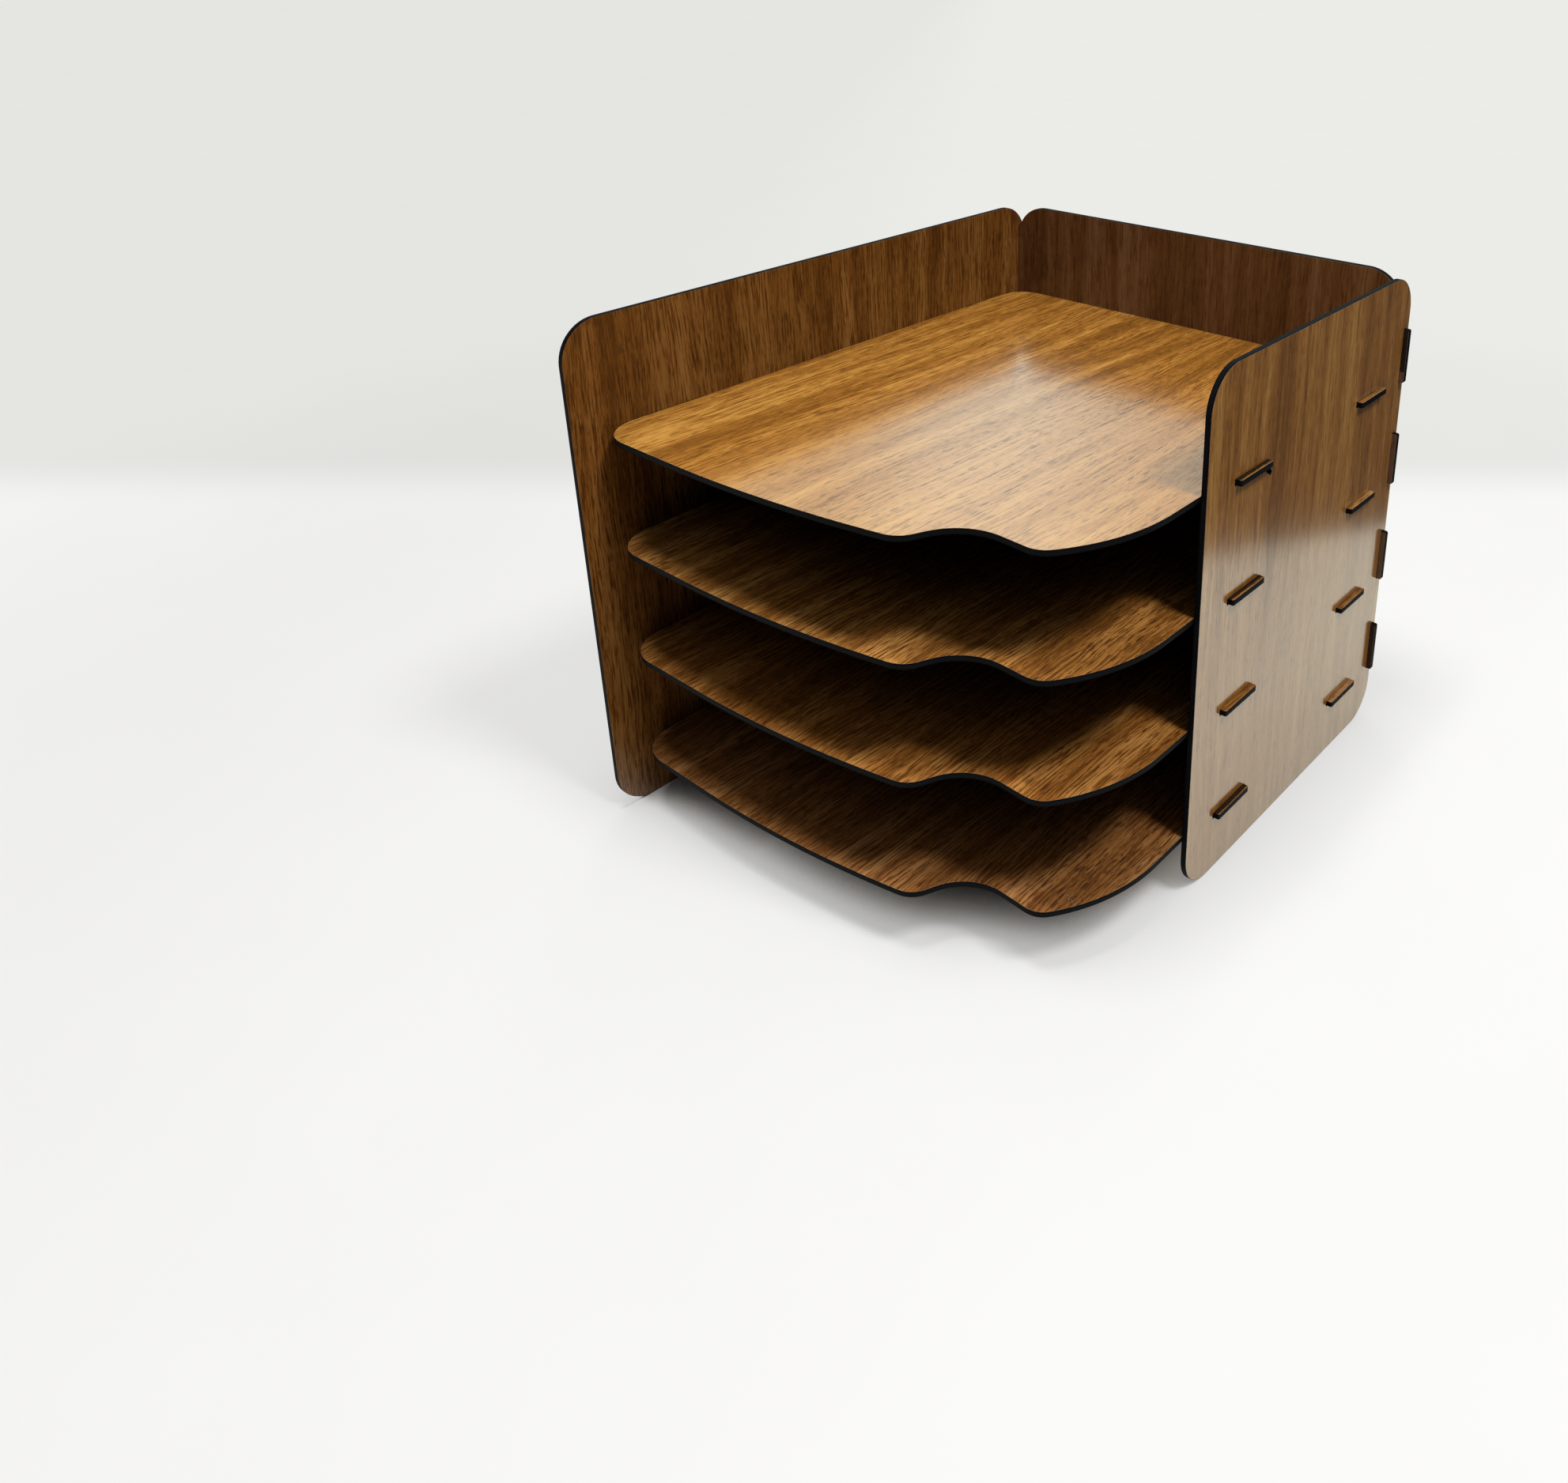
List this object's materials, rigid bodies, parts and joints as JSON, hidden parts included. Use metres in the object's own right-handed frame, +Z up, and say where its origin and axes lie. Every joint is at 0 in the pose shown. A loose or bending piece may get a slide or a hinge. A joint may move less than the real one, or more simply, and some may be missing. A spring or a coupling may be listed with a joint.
{
  "type": "letter tray stack",
  "caption": "Desk letter tray stack: fixed shelves with a finger notch in each, slotted between a long side panel, a short side panel and a back panel of thin laminated board.",
  "frame": {"origin": "on the floor, under the middle of the outline: midway between the two sides and under the middle of the long side panel", "axes": "+X across the stack towards the short side panel, +Y from the front to the back panel, +Z up"},
  "size_m": [0.2656, 0.328, 0.2625],
  "materials": {
    "laminated_board": "satin walnut decor laminate on both faces, with black burnt edges"
  },
  "bodies": {
    "root": {"left_side_panel": "laminated_board", "right_side_panel": "laminated_board", "back_panel": "laminated_board", "shelf_1": "laminated_board", "shelf_2": "laminated_board", "shelf_3": "laminated_board", "shelf_4": "laminated_board"}
  },
  "joints": []
}
